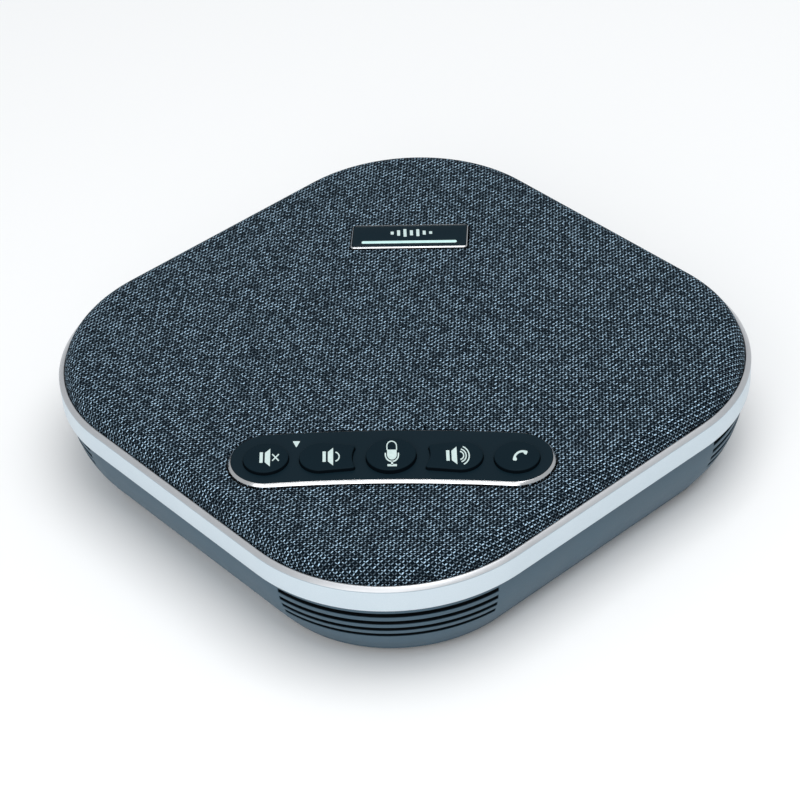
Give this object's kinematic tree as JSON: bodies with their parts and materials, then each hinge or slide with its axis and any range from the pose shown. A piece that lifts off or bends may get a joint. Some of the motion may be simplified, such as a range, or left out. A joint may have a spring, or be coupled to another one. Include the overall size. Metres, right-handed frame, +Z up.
{
  "type": "conference speakerphone",
  "caption": "Rounded-square tabletop conference speakerphone with a fabric top, silver trim ring, bowed keypad, light bar badge and vented tapered base.",
  "frame": {"origin": "centre of the rounded square, on the plane that the rubber foot stands on", "axes": "+Z up; -Y towards the user, through the front corner with the keys; +X to the right corner"},
  "size_m": [0.1644, 0.1644, 0.0329],
  "materials": {
    "fabric": "dark navy woven cloth with pale blue flecks",
    "spider_cloth": "resin-stiffened corrugated cloth",
    "satin_silver": "satin silver",
    "housing_plastic": "fine textured blue-grey moulding",
    "chrome_trim": "bright plated",
    "fascia_plastic": "dark blue-black, half gloss",
    "key_plastic": "dark blue-black soft-touch",
    "light_guide": "translucent pale mint light guide",
    "vent_mesh": "black woven acoustic mesh",
    "black_rubber": "matt black",
    "circuit_board": "green solder mask",
    "cone_paper": "black pressed paper",
    "copper_coil": "enamelled copper winding",
    "ferrite": "dark ferrite",
    "battery_wrap": "blue shrink wrap",
    "lead_insulation": "black insulation",
    "black_plastic": "black moulding",
    "plated_steel": "plated steel"
  },
  "bodies": {
    "casing": {"badge_light_board": "circuit_board", "badge_plate": "fascia_plastic", "badge_rim": "chrome_trim", "battery_lead": "lead_insulation", "battery_pack": "battery_wrap", "cone_spider": "spider_cloth", "cone_surround": "black_rubber", "fabric_cover": "fabric", "grille_plate": "black_plastic", "housing_screw_1": "plated_steel", "housing_screw_2": "plated_steel", "housing_screw_3": "plated_steel", "housing_screw_4": "plated_steel", "key_board": "circuit_board", "keypad_cable": "lead_insulation", "keypad_fascia": "fascia_plastic", "keypad_rim": "chrome_trim", "lower_housing": "housing_plastic", "main_board": "circuit_board", "microphone_back": "black_rubber", "microphone_front": "black_rubber", "microphone_left": "black_rubber", "microphone_right": "black_rubber", "processor_shield": "plated_steel", "rubber_foot": "black_rubber", "speaker_basket": "plated_steel", "speaker_chamber": "black_plastic", "speaker_gasket": "black_rubber", "speaker_magnet": "ferrite", "speaker_top_plate": "plated_steel", "speaker_yoke": "plated_steel", "status_light_bar": "light_guide", "switch_call": "black_plastic", "switch_microphone_mute": "black_plastic", "switch_speaker_mute": "black_plastic", "switch_volume_down": "black_plastic", "switch_volume_up": "black_plastic", "trim_ring": "satin_silver", "usb_c_receptacle": "plated_steel", "usb_c_tongue": "black_plastic", "vent_mesh_back": "vent_mesh", "vent_mesh_front": "vent_mesh", "vent_mesh_left": "vent_mesh", "vent_mesh_right": "vent_mesh"},
    "key_speaker_mute": {"key_speaker_mute": "key_plastic", "plunger_speaker_mute": "plated_steel"},
    "key_volume_down": {"key_volume_down": "key_plastic", "plunger_volume_down": "plated_steel"},
    "key_microphone_mute": {"key_microphone_mute": "key_plastic", "plunger_microphone_mute": "plated_steel"},
    "key_volume_up": {"key_volume_up": "key_plastic", "plunger_volume_up": "plated_steel"},
    "key_call": {"key_call": "key_plastic", "plunger_call": "plated_steel"},
    "speaker_diaphragm": {"speaker_cone": "cone_paper", "dust_cap": "cone_paper", "voice_coil": "copper_coil"}
  },
  "joints": [
    {"name": "speaker_mute_press", "type": "slide", "parent": "casing", "child": "key_speaker_mute", "axis": [0, 0, -1], "range_m": [0, 0.0003], "stiffness_N_per_m": 800},
    {"name": "volume_down_press", "type": "slide", "parent": "casing", "child": "key_volume_down", "axis": [0, 0, -1], "range_m": [0, 0.0003], "stiffness_N_per_m": 800},
    {"name": "microphone_mute_press", "type": "slide", "parent": "casing", "child": "key_microphone_mute", "axis": [0, 0, -1], "range_m": [0, 0.0003], "stiffness_N_per_m": 800},
    {"name": "volume_up_press", "type": "slide", "parent": "casing", "child": "key_volume_up", "axis": [0, 0, -1], "range_m": [0, 0.0003], "stiffness_N_per_m": 800},
    {"name": "call_press", "type": "slide", "parent": "casing", "child": "key_call", "axis": [0, 0, -1], "range_m": [0, 0.0003], "stiffness_N_per_m": 800},
    {"name": "diaphragm_travel", "type": "slide", "parent": "casing", "child": "speaker_diaphragm", "axis": [0, 0, 1], "range_m": [-0.001, 0.001], "stiffness_N_per_m": 1500, "deforming": ["cone_surround", "cone_spider"]}
  ]
}
